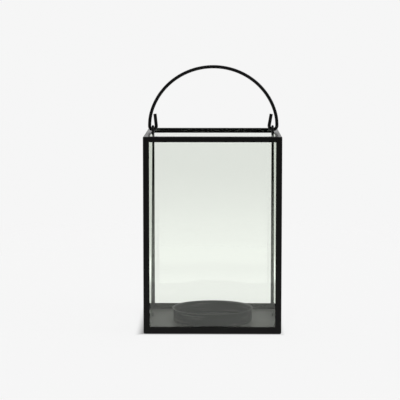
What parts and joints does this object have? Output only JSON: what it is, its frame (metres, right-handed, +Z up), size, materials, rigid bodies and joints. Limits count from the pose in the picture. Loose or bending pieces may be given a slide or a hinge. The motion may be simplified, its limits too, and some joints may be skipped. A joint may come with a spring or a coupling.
{
  "type": "candle lantern",
  "caption": "Square glazed candle lantern: folded steel angle frame with an open top, clear glass sides, a round candle cup on the base plate and a swinging wire bail handle.",
  "frame": {"origin": "on the ground, under the middle of the lantern's square base", "axes": "+Z up through the open top, -Y out of the front pane, +X to the right seen from the front"},
  "size_m": [0.15, 0.15, 0.2902],
  "materials": {
    "frame_paint": "satin black powder coat on folded steel angle",
    "tab_paint": "satin black powder coat on bent steel strip",
    "plate_paint": "satin black powder coat on flat sheet",
    "cup_paint": "satin dark grey coat over a spun steel dish with fine turning lines",
    "wire_paint": "satin black powder coat on round wire",
    "clear_glass": "clear float glass with a faint green cast, cut edges ground"
  },
  "bodies": {
    "lantern_body": {"post_front_left": "frame_paint", "post_front_right": "frame_paint", "post_back_right": "frame_paint", "post_back_left": "frame_paint", "top_rail_front": "frame_paint", "top_rail_right": "frame_paint", "top_rail_back": "frame_paint", "top_rail_left": "frame_paint", "bottom_rail_front": "frame_paint", "bottom_rail_right": "frame_paint", "bottom_rail_back": "frame_paint", "bottom_rail_left": "frame_paint", "top_tab_front_a": "tab_paint", "top_tab_front_b": "tab_paint", "top_tab_right_a": "tab_paint", "top_tab_right_b": "tab_paint", "top_tab_back_a": "tab_paint", "top_tab_back_b": "tab_paint", "top_tab_left_a": "tab_paint", "top_tab_left_b": "tab_paint", "base_tab_front_a": "tab_paint", "base_tab_front_b": "tab_paint", "base_tab_right_a": "tab_paint", "base_tab_right_b": "tab_paint", "base_tab_back_a": "tab_paint", "base_tab_back_b": "tab_paint", "base_tab_left_a": "tab_paint", "base_tab_left_b": "tab_paint", "glass_front": "clear_glass", "glass_right": "clear_glass", "glass_back": "clear_glass", "glass_left": "clear_glass", "base_plate": "plate_paint", "candle_cup": "cup_paint", "bail_eye_left": "wire_paint", "bail_eye_right": "wire_paint"},
    "bail": {"bail_handle": "wire_paint"}
  },
  "joints": [
    {"name": "bail_swing", "type": "hinge", "parent": "lantern_body", "child": "bail", "pos_m": [0, 0, 0.2184], "axis": [1, 0, 0], "range_deg": [-90.5, 90.5]}
  ]
}
